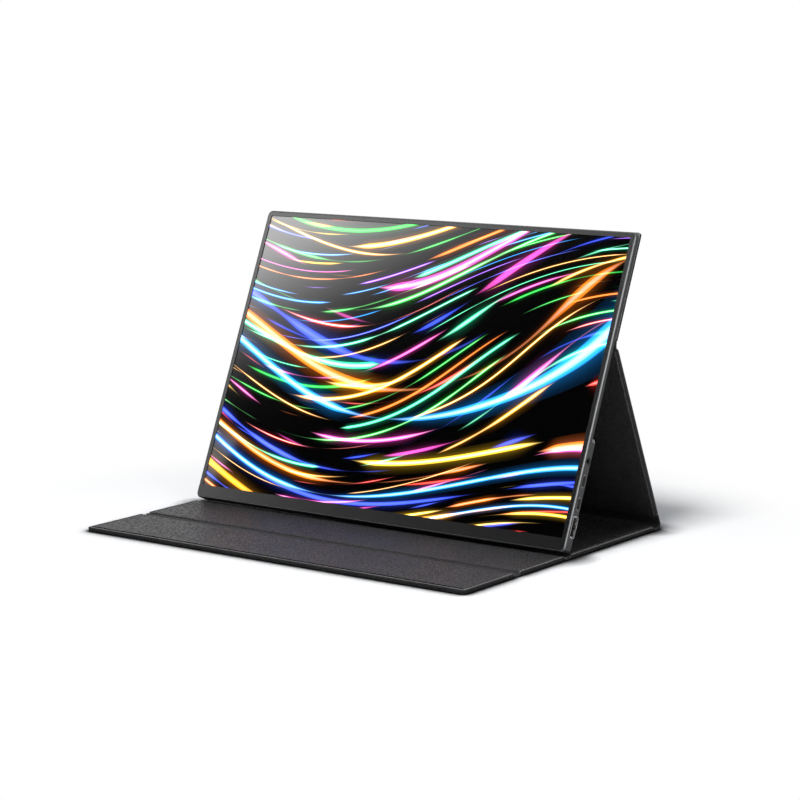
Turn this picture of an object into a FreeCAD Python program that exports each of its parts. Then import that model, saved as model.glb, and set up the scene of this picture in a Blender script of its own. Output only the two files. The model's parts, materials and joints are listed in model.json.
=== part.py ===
# A portable monitor standing in its folding cover.
# Millimetres. X runs along the width, Y to the back, Z up from the table.
# The origin is on the table, in the middle of the footprint.

import FreeCAD
import os
import Part
import re
import Sketcher

# Driving sizes, in millimetres and degrees
SIZES = [
    # The display body
    ("active_width", 338.1),
    ("active_height", 225.4),
    ("side_border", 4.45),
    ("top_border", 4.5),
    ("bottom_border", 10.5),
    ("corner_radius", 4.0),
    ("thin_depth", 4.2),
    ("box_depth", 10.0),
    ("box_height", 86.4),
    ("rear_wall", 1.0),
    ("side_wall", 1.2),
    ("rim_chamfer", 0.8),
    ("box_chamfer", 1.5),
    ("lean", 23.38),
    # The display stack, front to back
    ("bezel_depth", 0.6),
    ("window_gap", 0.2),
    ("glass_depth", 0.9),
    ("films_depth", 0.3),
    ("guide_depth", 0.6),
    ("reflector_depth", 0.15),
    ("tray_depth", 0.25),
    ("stack_margin", 0.4),
    ("led_height", 3.0),
    ("keeper_margin", 53.5),
    ("keeper_height", 70.0),
    ("keeper_depth", 0.35),
    ("keeper_drop", 8.0),
    # The sockets on the right side
    ("port_depth", 5.4),
    ("jack_up", 68.7),
    ("usb_upper_up", 53.8),
    ("usb_lower_up", 36.9),
    ("hdmi_up", 19.9),
    ("mouth_inset", 0.4),
    ("socket_gap", 0.2),
    ("socket_wall", 0.3),
    ("socket_back", 1.2),
    ("usb_width", 8.94),
    ("usb_depth", 3.26),
    ("usb_length", 7.9),
    ("usb_corner", 1.5),
    ("usb_tongue_width", 6.7),
    ("usb_tongue_depth", 0.7),
    ("usb_tongue_length", 5.0),
    ("hdmi_width", 15.0),
    ("hdmi_depth", 5.55),
    ("hdmi_length", 11.0),
    ("hdmi_cut", 1.6),
    ("hdmi_tongue_width", 10.5),
    ("hdmi_tongue_depth", 1.1),
    ("hdmi_tongue_length", 8.0),
    ("jack_width", 6.5),
    ("jack_height", 4.2),
    ("jack_length", 13.0),
    ("jack_nose_radius", 2.6),
    ("jack_bore_radius", 1.8),
    ("jack_bore_length", 12.0),
    # The boards in the box
    ("board_width", 96.0),
    ("board_height", 70.0),
    ("board_depth", 0.8),
    ("board_edge_gap", 1.0),
    ("board_corner", 2.0),
    ("screw_side_inset", 18.0),
    ("screw_edge_inset", 4.0),
    ("screw_radius", 0.8),
    ("screw_play", 0.15),
    ("screw_bite", 1.5),
    ("screw_head_radius", 1.9),
    ("screw_head_depth", 1.0),
    ("boss_radius", 2.2),
    ("chip_size", 14.0),
    ("chip_depth", 1.2),
    ("spreader_size", 40.0),
    ("spreader_depth", 1.0),
    ("driver_margin", 62.3),
    ("driver_height", 12.0),
    ("driver_depth", 0.6),
    ("driver_up", 5.0),
    ("driver_shift", 30.0),
    ("cable_width", 24.0),
    ("cable_depth", 0.25),
    ("cable_lap", 5.0),
    ("key_cable_width", 6.0),
    ("speaker_width", 36.0),
    ("speaker_height", 14.0),
    ("speaker_depth", 4.6),
    ("speaker_corner", 2.0),
    ("speaker_gap", 5.3),
    ("speaker_up", 62.0),
    ("cone_radius", 5.0),
    ("cone_depth", 0.8),
    ("slot_width", 1.2),
    ("slot_height", 9.0),
    ("slot_spread", 24.0),
    # The controls on the left side
    ("power_up", 62.0),
    ("power_width", 9.0),
    ("power_depth", 3.0),
    ("power_corner", 1.3),
    ("power_travel", 0.5),
    ("control_gap", 0.15),
    ("control_proud", 0.35),
    ("flange_reach", 1.0),
    ("flange_depth", 0.8),
    ("switch_width", 5.0),
    ("switch_depth", 3.5),
    ("switch_height", 2.5),
    ("key_board_height", 62.0),
    ("key_board_depth", 5.0),
    ("key_board_thickness", 0.8),
    ("rocker_up", 34.0),
    ("rocker_width", 14.0),
    ("rocker_depth", 3.0),
    ("rocker_sweep", 4.0),
    ("pivot_inset", 2.9),
    ("pin_radius", 0.6),
    ("pin_play", 0.05),
    ("hub_wall", 0.7),
    ("lug_depth", 0.8),
    ("lug_height", 3.0),
    # The cover
    ("cover_margin", 0.5),
    ("panel_corner", 2.0),
    ("skin", 0.8),
    ("hem", 2.2),
    ("base_board", 1.6),
    ("leg_board", 2.0),
    ("plate_board", 1.2),
    ("crease_core", 0.6),
    ("crease_groove", 0.8),
    ("flap_tip_length", 59.4),
    ("flap_tip_gap", 8.4),
    ("flap_length", 56.1),
    ("seat_width", 9.5),
    ("seat_play", 0.9),
    ("seat_clearance", 0.1),
    ("base_length", 113.7),
    ("spine_run", 6.6),
    ("spine_lift", 0.2),
    ("leg_gap", 7.4),
    ("plate_length", 83.4),
    ("fold_inset", 1.2),
    ("fold_out", 0.8),
    ("fold_leg_gap", 3.5),
    ("fold_plate_gap", 3.0),
    ("plate_rise", 1.4),
    ("fit_gap", 0.1),
    ("magnet_width", 24.0),
    ("magnet_height", 10.0),
    ("magnet_spread", 110.0),
    ("magnet_rows", 44.0),
]

# Values worked out from the driving sizes
LAYOUT = [
    ("monitor_width", "active_width + 2 * side_border"),
    ("monitor_height", "active_height + top_border + bottom_border"),
    ("cover_width", "monitor_width + 2 * cover_margin"),
    ("fold_up", "monitor_height + plate_rise - plate_length - fold_plate_gap"),
    ("base_thickness", "2 * skin + base_board"),
    ("leg_thickness", "2 * skin + leg_board"),
    ("plate_thickness", "2 * skin + plate_board"),
    ("crease_thickness", "2 * skin + crease_core"),
    ("flap_start", "flap_tip_length + flap_tip_gap"),
    ("seat_start", "flap_start + flap_length"),
    ("base_start", "seat_start + seat_width"),
    ("base_end", "base_start + base_length"),
    ("spine_radius", "base_thickness + spine_lift"),
    ("spine_inner", "spine_radius - 2 * skin"),
    ("half_depth", "(base_end + spine_run + spine_radius) / 2"),
    ("spine_y", "base_end + spine_run - half_depth"),
    ("seat_z", "crease_thickness + seat_clearance"),
    ("heel_y", "base_start - seat_play - (base_thickness - seat_z) * tan(lean)"),
    ("toe_y", "heel_y - box_depth * cos(lean) - half_depth"),
    ("toe_z", "seat_z + box_depth * sin(lean)"),
    ("plate_face", "thin_depth + fit_gap"),
    ("fold_depth", "plate_face + plate_thickness - fold_inset"),
    ("fold_y", "toe_y + fold_up * sin(lean) + fold_depth * cos(lean)"),
    ("fold_z", "toe_z + fold_up * cos(lean) - fold_depth * sin(lean)"),
    ("run_y", "spine_y - fold_y"),
    ("run_z", "fold_z - spine_radius"),
    ("reach", "sqrt(run_y * run_y + run_z * run_z)"),
    ("leg_angle", "atan2(run_z; run_y) - asin(fold_out / reach)"),
    ("leg_tilt", "90deg - leg_angle"),
    ("leg_inner", "spine_radius - leg_thickness"),
    ("leg_length", "sqrt(reach * reach - fold_out * fold_out) - leg_gap - fold_leg_gap"),
    ("plate_start", "fold_up + fold_plate_gap"),
    ("half_width", "monitor_width / 2"),
    ("inner_width", "monitor_width - 2 * side_wall"),
    ("inner_height", "monitor_height - 2 * side_wall"),
    ("inner_corner", "corner_radius - side_wall"),
    ("middle_up", "monitor_height / 2"),
    ("keeper_width", "monitor_width - 2 * keeper_margin"),
    ("driver_width", "inner_width - 2 * driver_margin"),
    ("active_up", "monitor_height - top_border - active_height / 2"),
    ("stack_width", "inner_width - 2 * stack_margin"),
    ("stack_height", "inner_height - 2 * stack_margin"),
    ("stack_corner", "inner_corner - stack_margin"),
    ("films_front", "bezel_depth + glass_depth"),
    ("guide_front", "films_front + films_depth"),
    ("reflector_front", "guide_front + guide_depth"),
    ("tray_front", "reflector_front + reflector_depth"),
    ("tray_back", "tray_front + tray_depth"),
    ("box_back", "box_depth - rear_wall"),
    ("socket_mouth", "half_width - mouth_inset"),
    ("board_front", "port_depth + usb_depth / 2"),
    ("board_back", "board_front + board_depth"),
    ("board_right", "half_width - side_wall - board_edge_gap"),
    ("board_x", "board_right - board_width / 2"),
    ("speaker_reach", "board_right - board_width - speaker_gap - speaker_width / 2"),
    ("board_up", "box_height / 2"),
    ("hdmi_center", "box_back - hdmi_depth / 2 - socket_gap"),
    ("jack_center", "board_front - jack_height / 2"),
    ("jack_face", "half_width - side_wall - fit_gap"),
    ("screw_x", "board_width / 2 - screw_side_inset"),
    ("screw_up", "board_height / 2 - screw_edge_inset"),
    ("wall_left", "side_wall - half_width"),
    ("flange_x", "wall_left + control_gap"),
    ("switch_x", "flange_x + flange_depth + power_travel + control_gap"),
    ("key_board_x", "switch_x + switch_height"),
    ("key_board_up", "(power_up + rocker_up) / 2"),
    ("pivot_x", "pivot_inset - half_width"),
    ("hub_radius", "pin_radius + pin_play + hub_wall"),
    ("lug_start", "port_depth + rocker_depth / 2 + control_gap"),
    ("rocker_slot", "rocker_width + 2 * control_gap + 2 * pivot_inset * sin(2 * rocker_sweep)"),
    ("rocker_back", "switch_x - (rocker_width / 2) * sin(rocker_sweep) - control_gap"),
    ("rocker_switch_reach", "rocker_width / 2 - switch_width / 2"),
]

PLANES = {"front": "XZ_Plane", "side": "YZ_Plane", "top": "XY_Plane"}

# Each frame is its turning axis along X, its place in Y and Z, and its angle
BASE_FRAME = (-1, "-half_depth", "base_thickness", "90")
MONITOR_FRAME = (-1, "toe_y", "toe_z", "lean")
LEG_FRAME = (1, "spine_y", "spine_radius", "leg_tilt")

doc = FreeCAD.newDocument("portable_monitor")
size_names = {name for name, value in SIZES}
layout_names = {name for name, formula in LAYOUT}
pieces = []


def bound(text):
    """An expression with every value named together with its sheet."""
    def with_sheet(match):
        word = match.group(0)
        if word in size_names:
            return "Sizes." + word
        if word in layout_names:
            return "Layout." + word
        return word
    return re.sub(r"[a-z_]+", with_sheet, text)


def fill_sheets():
    sizes = doc.addObject("Spreadsheet::Sheet", "Sizes")
    for row, (name, value) in enumerate(SIZES, 1):
        sizes.set(f"A{row}", name)
        sizes.set(f"B{row}", str(value))
        sizes.setAlias(f"B{row}", name)
    layout = doc.addObject("Spreadsheet::Sheet", "Layout")
    for row, (name, formula) in enumerate(LAYOUT, 1):
        layout.set(f"A{row}", name)
        layout.set(f"B{row}", "=" + bound(formula).replace("Layout.", ""))
        layout.setAlias(f"B{row}", name)
    doc.recompute()


def number(text):
    """The present value of an expression, to start a sketch near its solution."""
    value = doc.Sizes.evalExpression(bound(text))
    return float(getattr(value, "Value", value))


def place(piece, frame):
    axis, along, height, angle = frame
    piece.Placement = FreeCAD.Placement(
        FreeCAD.Vector(), FreeCAD.Rotation(FreeCAD.Vector(axis, 0, 0), 30))
    piece.setExpression("Placement.Base.y", bound(along))
    piece.setExpression("Placement.Base.z", bound(height))
    piece.setExpression("Placement.Rotation.Angle", bound(angle))


def new_body(label, frame):
    body = doc.addObject("PartDesign::Body", label)
    body.Label = label
    place(body, frame)
    pieces.append(body)
    return body


def new_sketch(body, plane, at, start):
    """A sketch on one of the body's planes, moved along it to at and off it to start."""
    sketch = body.newObject("Sketcher::SketchObject", body.Name + "_outline")
    role = PLANES[plane]
    origin = [f for f in body.Origin.OriginFeatures if f.Role == role]
    sketch.AttachmentSupport = [(origin[0], "")]
    sketch.MapMode = "FlatFace"
    off = f"-({start})" if plane == "front" else start
    sketch.setExpression("AttachmentOffset.Base.x", bound(at[0]))
    sketch.setExpression("AttachmentOffset.Base.y", bound(at[1]))
    sketch.setExpression("AttachmentOffset.Base.z", bound(off))
    return sketch


def measure(sketch, kind, items, text):
    """One dimension of a sketch, bound to an expression."""
    index = sketch.addConstraint(Sketcher.Constraint(kind, *items, number(text)))
    sketch.setExpression(f"Constraints[{index}]", bound(text))


def join_ends(sketch, kind, count):
    for index in range(count):
        sketch.addConstraint(Sketcher.Constraint(kind, index, 2, (index + 1) % count, 1))


def polygon(points):
    """A closed outline of straight runs through points given as pairs of expressions."""
    def draw(sketch):
        spots = [FreeCAD.Vector(number(x), number(y), 0) for x, y in points]
        for index, spot in enumerate(spots):
            sketch.addGeometry(Part.LineSegment(spot, spots[(index + 1) % len(spots)]))
        join_ends(sketch, "Coincident", len(spots))
        for index, (x, y) in enumerate(points):
            measure(sketch, "DistanceX", (-1, 1, index, 1), x)
            measure(sketch, "DistanceY", (-1, 1, index, 1), y)
    return draw


def rectangle(width, height):
    half_wide, half_high = f"({width}) / 2", f"({height}) / 2"
    left, low = f"-({width}) / 2", f"-({height}) / 2"
    return polygon([(left, low), (half_wide, low), (half_wide, half_high), (left, half_high)])


def rounded(width, height, radius):
    """A rectangle with round corners, centred on the sketch."""
    def draw(sketch):
        x, y, r = number(width) / 2, number(height) / 2, number(radius)
        corners = [(x - r, r - y), (x - r, y - r), (r - x, y - r), (r - x, r - y)]
        ends = [(r - x, -y, x - r, -y), (x, r - y, x, y - r),
                (x - r, y, r - x, y), (-x, y - r, -x, r - y)]
        up = FreeCAD.Vector(0, 0, 1)
        quarter = 1.5707963267948966
        for index, (run, center) in enumerate(zip(ends, corners)):
            first = FreeCAD.Vector(run[0], run[1], 0)
            last = FreeCAD.Vector(run[2], run[3], 0)
            sketch.addGeometry(Part.LineSegment(first, last))
            circle = Part.Circle(FreeCAD.Vector(center[0], center[1], 0), up, r)
            turn = (index - 1) * quarter
            sketch.addGeometry(Part.ArcOfCircle(circle, turn, turn + quarter))
        join_ends(sketch, "Tangent", 8)
        for line, kind in ((0, "Horizontal"), (2, "Vertical"), (4, "Horizontal"), (6, "Vertical")):
            sketch.addConstraint(Sketcher.Constraint(kind, line))
        for arc in (3, 5, 7):
            sketch.addConstraint(Sketcher.Constraint("Equal", 1, arc))
        sketch.addConstraint(Sketcher.Constraint("Symmetric", 1, 3, 5, 3, -1, 1))
        measure(sketch, "Radius", (1,), radius)
        measure(sketch, "DistanceX", (6, 1, 2, 1), width)
        measure(sketch, "DistanceY", (0, 1, 4, 1), height)
    return draw


def disc(radius):
    def draw(sketch):
        up = FreeCAD.Vector(0, 0, 1)
        sketch.addGeometry(Part.Circle(FreeCAD.Vector(), up, number(radius)))
        sketch.addConstraint(Sketcher.Constraint("Coincident", 0, 3, -1, 1))
        measure(sketch, "Radius", (0,), radius)
    return draw


def grow(body, plane, outline, at, start, length):
    """Add material from start over length, along the plane's positive direction."""
    sketch = new_sketch(body, plane, at, start)
    outline(sketch)
    pad = body.newObject("PartDesign::Pad", body.Name + "_pad")
    pad.Profile = sketch
    pad.Reversed = plane == "front"
    pad.setExpression("Length", bound(length))
    return pad


def carve(body, plane, outline, at, start, length):
    """Take material away from start over length, along the plane's positive direction."""
    sketch = new_sketch(body, plane, at, start)
    outline(sketch)
    before = volume(body)
    pocket = body.newObject("PartDesign::Pocket", body.Name + "_pocket")
    pocket.Profile = sketch
    pocket.Reversed = plane != "front"
    pocket.setExpression("Length", bound(length))
    if not volume(body) < before:
        raise RuntimeError(f"{body.Label}: a cut took nothing away")
    return pocket


def volume(body):
    doc.recompute()
    return body.Shape.Volume


def bevel(body, feature, depth, size):
    """Chamfer every edge of a feature that lies all over at one depth."""
    doc.recompute()
    level = number(depth)
    names = []
    for index, edge in enumerate(feature.Shape.Edges, 1):
        box = edge.BoundBox
        if abs(box.YMin - level) < 1e-6 and abs(box.YMax - level) < 1e-6:
            names.append(f"Edge{index}")
    chamfer = body.newObject("PartDesign::Chamfer", body.Name + "_bevel")
    chamfer.Base = (feature, names)
    chamfer.setExpression("Size", bound(size))
    return chamfer


def block(label, frame, outline, at, start, length, plane="front"):
    body = new_body(label, frame)
    grow(body, plane, outline, at, start, length)
    return body


# The cover

def cover_panel(name, frame, start, length, face, board):
    """One stiff panel of the cover: lining, board and outer skin with its hem."""
    middle = ("0", f"{start} + ({length}) / 2")
    full = rounded("cover_width", length, "panel_corner")
    core = rectangle("cover_width - 2 * hem", f"{length} - 2 * hem")
    block(name + "_lining", frame, full, middle, face, "skin")
    inside = f"{face} + skin"
    block(name + "_board", frame, core, middle, inside, board)
    skin = new_body(name + "_outer_skin", frame)
    grow(skin, "front", full, middle, inside, f"{board} + skin")
    carve(skin, "front", core, middle, inside, board)


def cover_panels():
    cover_panel("flap_tip", BASE_FRAME, "0", "flap_tip_length", "0", "base_board")
    cover_panel("flap", BASE_FRAME, "flap_start", "flap_length", "0", "base_board")
    cover_panel("base", BASE_FRAME, "base_start", "base_length", "0", "base_board")
    cover_panel("leg", LEG_FRAME, "leg_gap", "leg_length", "leg_inner", "leg_board")
    cover_panel("plate", MONITOR_FRAME, "plate_start", "plate_length", "plate_face", "plate_board")


def flat_crease(label, start, width):
    """A soft fold lying flat, pressed to a round groove along its turning line."""
    middle = f"{start} + {width} / 2"
    top = "base_thickness - crease_thickness"
    body = block(label, BASE_FRAME, rectangle("cover_width", width), ("0", middle),
                 top, "crease_thickness")
    carve(body, "side", disc("crease_groove"), (top, middle), "-cover_width / 2", "cover_width")


def soft_box(name, turn, y, z, depth, height):
    """A flat run of fold material as wide as the cover, turned about the fold's own axis."""
    box = doc.addObject("Part::Box", name)
    box.setExpression("Length", bound("cover_width"))
    box.setExpression("Width", bound(depth))
    box.setExpression("Height", bound(height))
    box.Placement = FreeCAD.Placement(
        FreeCAD.Vector(), FreeCAD.Rotation(FreeCAD.Vector(turn[0], 0, 0), 30))
    sign = "-" if turn[0] < 0 else ""
    cosine, sine = f"cos({turn[1]})", f"{sign}sin({turn[1]})"
    box.setExpression("Placement.Rotation.Angle", bound(turn[1]))
    box.setExpression("Placement.Base.y", bound(f"({y}) * {cosine} - ({z}) * ({sine})"))
    box.setExpression("Placement.Base.z", bound(f"({y}) * ({sine}) + ({z}) * {cosine}"))
    return box


def soft_round(name, radius, angle):
    """A round bar along X, or the part of it from straight down towards the back and up."""
    bar = doc.addObject("Part::Cylinder", name)
    bar.setExpression("Radius", bound(radius))
    bar.setExpression("Height", bound("cover_width"))
    bar.setExpression("Angle", bound(angle))
    bar.Placement = FreeCAD.Placement(
        FreeCAD.Vector(), FreeCAD.Rotation(FreeCAD.Vector(0, 1, 0), 90))
    return bar


def fused_fold(label, shapes, along, height):
    fold = doc.addObject("Part::MultiFuse", label)
    fold.Label = label
    fold.Shapes = shapes
    fold.Refine = True
    fold.setExpression("Placement.Base.x", bound("-cover_width / 2"))
    fold.setExpression("Placement.Base.y", bound(along))
    fold.setExpression("Placement.Base.z", bound(height))
    pieces.append(fold)


def rear_spine():
    """The rounded rear fold: flat on the table, round the spine and up into the leg."""
    tube = doc.addObject("Part::Cut", "spine_tube")
    tube.Base = soft_round("spine_outside", "spine_radius", "90deg + leg_tilt")
    tube.Tool = soft_round("spine_inside", "spine_inner", "360")
    level = (1, "0")
    flat = soft_box("spine_flat", level, "-spine_run", "-spine_radius", "spine_run", "2 * skin")
    rise = soft_box("spine_rise", (1, "leg_tilt"), "spine_inner", "0", "2 * skin", "leg_gap")
    fused_fold("spine_crease", [tube, flat, rise], "spine_y", "spine_radius")


def upper_fold():
    """The fold between the leg and the plate, round about its turning line."""
    bar = soft_round("fold_bar", "skin", "360")
    above = soft_box("fold_above", (-1, "lean"), "-skin", "0", "2 * skin", "fold_plate_gap")
    below = soft_box("fold_below", (1, "leg_tilt"), "-skin", "-fold_leg_gap", "2 * skin",
                     "fold_leg_gap")
    fused_fold("plate_crease", [bar, above, below], "fold_y", "fold_z")


def plate_magnets():
    """Flat magnets let into the plate's board, three over three."""
    board = doc.getObject("plate_board")
    magnets = new_body("plate_magnets", MONITOR_FRAME)
    face = "plate_face + skin"
    for row in (-1, 1):
        for column in (-1, 0, 1):
            middle = (f"{column} * magnet_spread",
                      f"plate_start + plate_length / 2 + {row} * magnet_rows / 2")
            shape = rectangle("magnet_width", "magnet_height")
            carve(board, "front", shape, middle, face, "plate_board")
            grow(magnets, "front", shape, middle, face, "plate_board")


# The display

def right_cut(body, outline, depth, up):
    carve(body, "side", outline, (depth, up), "half_width - 2 * side_wall", "3 * side_wall")


def left_cut(body, outline, depth, up):
    carve(body, "side", outline, (depth, up), "-half_width - side_wall", "3 * side_wall")


def hdmi_outline(margin):
    """The flat D of the socket, with the two rear corners cut off."""
    half, wide = f"(hdmi_depth / 2 + {margin})", f"(hdmi_width / 2 + {margin})"
    short, narrow = f"{half} - hdmi_cut", f"{wide} - hdmi_cut"
    return polygon([(f"-{half}", f"-{wide}"), (short, f"-{wide}"), (half, f"-({narrow})"),
                    (half, narrow), (short, wide), (f"-{half}", wide)])


def screw_spots():
    return [(f"board_x + {x} * screw_x", f"board_up + {up} * screw_up")
            for x in (-1, 1) for up in (-1, 1)]


def rear_shell():
    """The metal body: a thin tray with the electronics box along its lower back."""
    shell = new_body("rear_shell", MONITOR_FRAME)
    outline = rounded("monitor_width", "monitor_height", "corner_radius")
    grow(shell, "front", outline, ("0", "middle_up"), "0", "thin_depth")
    box = rounded("monitor_width", "box_height", "corner_radius")
    box_pad = grow(shell, "front", box, ("0", "box_height / 2"), "thin_depth / 2",
                   "box_depth - thin_depth / 2")
    back_bevel = bevel(shell, box_pad, "box_depth", "box_chamfer")
    bevel(shell, back_bevel, "0", "rim_chamfer")
    inside = rounded("inner_width", "inner_height", "inner_corner")
    carve(shell, "front", inside, ("0", "middle_up"), "0", "thin_depth - rear_wall")
    box_inside = rounded("inner_width", "box_height - 2 * side_wall", "inner_corner")
    carve(shell, "front", box_inside, ("0", "box_height / 2"), "0", "box_back")
    usb_hole = rounded("usb_depth + 2 * socket_gap", "usb_width + 2 * socket_gap",
                       "usb_corner + socket_gap")
    right_cut(shell, usb_hole, "port_depth", "usb_upper_up")
    right_cut(shell, usb_hole, "port_depth", "usb_lower_up")
    right_cut(shell, hdmi_outline("socket_gap"), "hdmi_center", "hdmi_up")
    right_cut(shell, disc("jack_nose_radius + socket_gap"), "jack_center", "jack_up")
    power_hole = rounded("power_depth + 2 * control_gap", "power_width + 2 * control_gap",
                         "power_corner + control_gap")
    left_cut(shell, power_hole, "port_depth", "power_up")
    rocker_hole = rectangle("rocker_depth + 2 * control_gap", "rocker_slot")
    left_cut(shell, rocker_hole, "port_depth", "rocker_up")
    rocker_lugs(shell)
    for spot in screw_spots():
        grow(shell, "front", disc("boss_radius"), spot, "board_back", "box_back - board_back")
        carve(shell, "front", disc("screw_radius"), spot, "board_back", "screw_bite")
    for side in (-1, 1):
        speaker_slots(shell, side)


def rocker_lugs(shell):
    """Two lugs behind the left wall that hold the ends of the rocker's pin."""
    reach = "pivot_inset - side_wall + hub_radius"
    lug = rectangle(reach, "lug_height")
    spot = (f"wall_left + ({reach}) / 2", "rocker_up")
    other = "2 * port_depth - lug_start - lug_depth"
    for start in ("lug_start", other):
        grow(shell, "front", lug, spot, start, "lug_depth")
    carve(shell, "front", disc("pin_radius"), ("pivot_x", "rocker_up"), other,
          f"lug_start + lug_depth - ({other})")


def speaker_slots(shell, side):
    """A row of sound slots through the rear wall of the box, behind one speaker."""
    first = f"{side} * speaker_reach - slot_spread / 2"
    slot = carve(shell, "front", rectangle("slot_width", "slot_height"),
                 (first, "speaker_up"), "box_back", "rear_wall")
    row = shell.newObject("PartDesign::LinearPattern", "slot_row")
    row.Originals = [slot]
    row.Direction = (slot.Profile[0], ["H_Axis"])
    row.setExpression("Length", bound("slot_spread"))
    row.Occurrences = 9
    shell.Tip = row


def display_stack():
    """The bezel and the layers behind it, each lying on the next."""
    middle = ("0", "middle_up")
    bezel = new_body("bezel_frame", MONITOR_FRAME)
    frame = rounded("inner_width - 2 * fit_gap", "inner_height - 2 * fit_gap", "inner_corner")
    grow(bezel, "front", frame, middle, "0", "bezel_depth")
    window = rectangle("active_width + 2 * window_gap", "active_height + 2 * window_gap")
    carve(bezel, "front", window, ("0", "active_up"), "0", "bezel_depth")
    sheet = rounded("stack_width", "stack_height", "stack_corner")
    block("display_glass", MONITOR_FRAME, sheet, middle, "bezel_depth", "glass_depth")
    block("diffuser_films", MONITOR_FRAME, sheet, middle, "films_front", "films_depth")
    guide = rounded("stack_width", "stack_height - led_height", "stack_corner")
    raised = ("0", "middle_up + led_height / 2")
    block("light_guide", MONITOR_FRAME, guide, raised, "guide_front", "guide_depth")
    block("reflector_sheet", MONITOR_FRAME, sheet, middle, "reflector_front", "reflector_depth")
    block("panel_tray", MONITOR_FRAME, sheet, middle, "tray_front", "tray_depth")
    strip = rectangle("stack_width - 2 * stack_corner", "led_height")
    low = ("0", "side_wall + stack_margin + led_height / 2")
    block("led_bar", MONITOR_FRAME, strip, low, "guide_front", "guide_depth")
    keeper = rectangle("keeper_width", "keeper_height")
    spot = ("0", "monitor_height - side_wall - keeper_drop - keeper_height / 2")
    block("magnet_keeper", MONITOR_FRAME, keeper, spot, "thin_depth - rear_wall - keeper_depth",
          "keeper_depth")


# The electronics

def usb_socket(name, up):
    spot = ("port_depth", up)
    socket = block(f"usb_c_socket_{name}", MONITOR_FRAME,
                   rounded("usb_depth", "usb_width", "usb_corner"), spot,
                   "socket_mouth - usb_length", "usb_length", "side")
    hollow = rounded("usb_depth - 2 * socket_wall", "usb_width - 2 * socket_wall",
                     "usb_corner - socket_wall")
    floor = "socket_mouth - usb_length + socket_back"
    carve(socket, "side", hollow, spot, floor, "usb_length - socket_back")
    block(f"usb_c_tongue_{name}", MONITOR_FRAME,
          rectangle("usb_tongue_depth", "usb_tongue_width"), spot, floor,
          "usb_tongue_length", "side")


def hdmi_socket():
    spot = ("hdmi_center", "hdmi_up")
    socket = block("hdmi_socket", MONITOR_FRAME, hdmi_outline("0"), spot,
                   "socket_mouth - hdmi_length", "hdmi_length", "side")
    floor = "socket_mouth - hdmi_length + socket_back"
    carve(socket, "side", hdmi_outline("-socket_wall"), spot, floor, "hdmi_length - socket_back")
    block("hdmi_tongue", MONITOR_FRAME, rectangle("hdmi_tongue_depth", "hdmi_tongue_width"),
          spot, floor, "hdmi_tongue_length", "side")


def audio_jack():
    spot = ("jack_center", "jack_up")
    jack = block("audio_jack", MONITOR_FRAME, rectangle("jack_height", "jack_width"), spot,
                 "jack_face - jack_length", "jack_length", "side")
    grow(jack, "side", disc("jack_nose_radius"), spot, "jack_face", "socket_mouth - jack_face")
    carve(jack, "side", disc("jack_bore_radius"), spot, "socket_mouth - jack_bore_length",
          "jack_bore_length")


def boards():
    outline = rounded("board_width", "board_height", "board_corner")
    board = block("main_board", MONITOR_FRAME, outline, ("board_x", "board_up"),
                  "board_front", "board_depth")
    notch = rectangle("hdmi_length + 2 * socket_gap", "hdmi_width + 2 * socket_gap")
    carve(board, "front", notch, ("socket_mouth - hdmi_length / 2", "hdmi_up"),
          "board_front", "board_depth")
    screws = new_body("board_screws", MONITOR_FRAME)
    for spot in screw_spots():
        carve(board, "front", disc("screw_radius + screw_play"), spot, "board_front",
              "board_depth")
        grow(screws, "front", disc("screw_head_radius"), spot, "board_front - screw_head_depth",
             "screw_head_depth")
        grow(screws, "front", disc("screw_radius"), spot, "board_front",
             "board_depth + screw_bite")
    chip_spot = ("board_x", "board_up")
    chip = rectangle("chip_size", "chip_size")
    block("main_chip", MONITOR_FRAME, chip, chip_spot, "board_front - chip_depth", "chip_depth")
    spreader = rounded("spreader_size", "spreader_size", "board_corner")
    block("heat_spreader", MONITOR_FRAME, spreader, chip_spot,
          "board_front - chip_depth - spreader_depth", "spreader_depth")
    driver = rectangle("driver_width", "driver_height")
    block("driver_board", MONITOR_FRAME, driver,
          ("-driver_shift", "driver_up + driver_height / 2"), "tray_back", "driver_depth")


def panel_cable():
    """The flat lead from the driver board, up to the front of the main board."""
    low, high = "tray_back + driver_depth", "board_front"
    lap_end = "driver_up + driver_height"
    land = "board_up - board_height / 2 + cable_lap"
    points = [(low, f"{lap_end} - cable_lap"), (f"{low} + cable_depth", f"{lap_end} - cable_lap"),
              (f"{low} + cable_depth", lap_end), (high, f"{land} + 2 * cable_lap"),
              (high, f"{land} + 3 * cable_lap"),
              (f"{high} - cable_depth", f"{land} + 3 * cable_lap"),
              (f"{high} - cable_depth", f"{land} + 2 * cable_lap"), (low, lap_end)]
    block("panel_cable", MONITOR_FRAME, polygon(points), ("0", "0"),
          "board_x - board_width / 2 - cable_width / 2", "cable_width", "side")


def key_cable():
    """The flat lead from the key board, along the tray and up to the main board."""
    left = "key_board_x + key_board_thickness"
    join = "port_depth - key_board_depth / 4"
    land = "board_x - board_width / 2"
    front = "board_front - cable_depth"
    points = [(left, join), (f"{left} + cable_lap", "tray_back"),
              (f"{land} - 2 * cable_lap", "tray_back"), (land, front),
              (f"{land} + cable_lap", front), (f"{land} + cable_lap", "board_front"),
              (land, "board_front"), (f"{land} - 2 * cable_lap", "tray_back + cable_depth"),
              (f"{left} + cable_lap", "tray_back + cable_depth"), (left, f"{join} + cable_depth")]
    block("key_cable", MONITOR_FRAME, polygon(points), ("0", "0"),
          "board_up + key_cable_width", "key_cable_width", "top")


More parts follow.
